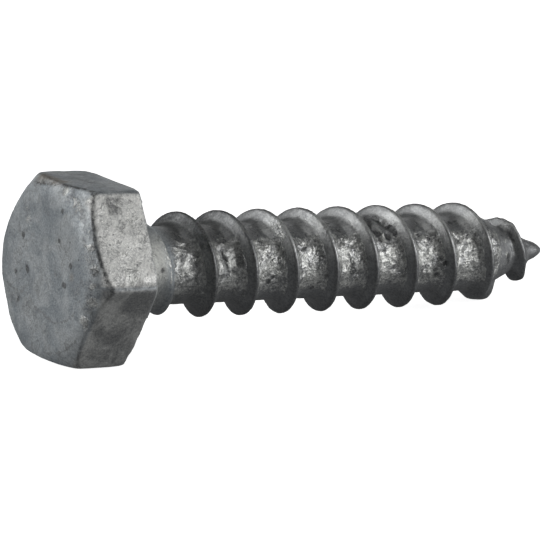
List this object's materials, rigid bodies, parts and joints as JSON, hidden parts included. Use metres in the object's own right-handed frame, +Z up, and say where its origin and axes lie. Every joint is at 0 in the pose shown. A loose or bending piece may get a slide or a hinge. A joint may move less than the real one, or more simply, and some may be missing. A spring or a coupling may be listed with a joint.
{
  "type": "lag screw",
  "caption": "Hexagon-head lag screw with a smooth neck, a coarse right-hand wood thread and a gimlet point, hot-dip galvanised, lying at rest on its head and thread.",
  "frame": {"origin": "on the floor, in the middle of the box that the lying screw fills", "axes": "+X from the head to the point, +Z up, +Y to the left as seen from behind the head; the screw's own axis falls about 5 degrees towards the point, because the head is wider than the thread"},
  "size_m": [0.045, 0.015, 0.0135],
  "materials": {
    "galvanised_steel": "satin"
  },
  "bodies": {
    "root": {"lag_screw": "galvanised_steel"}
  },
  "joints": []
}
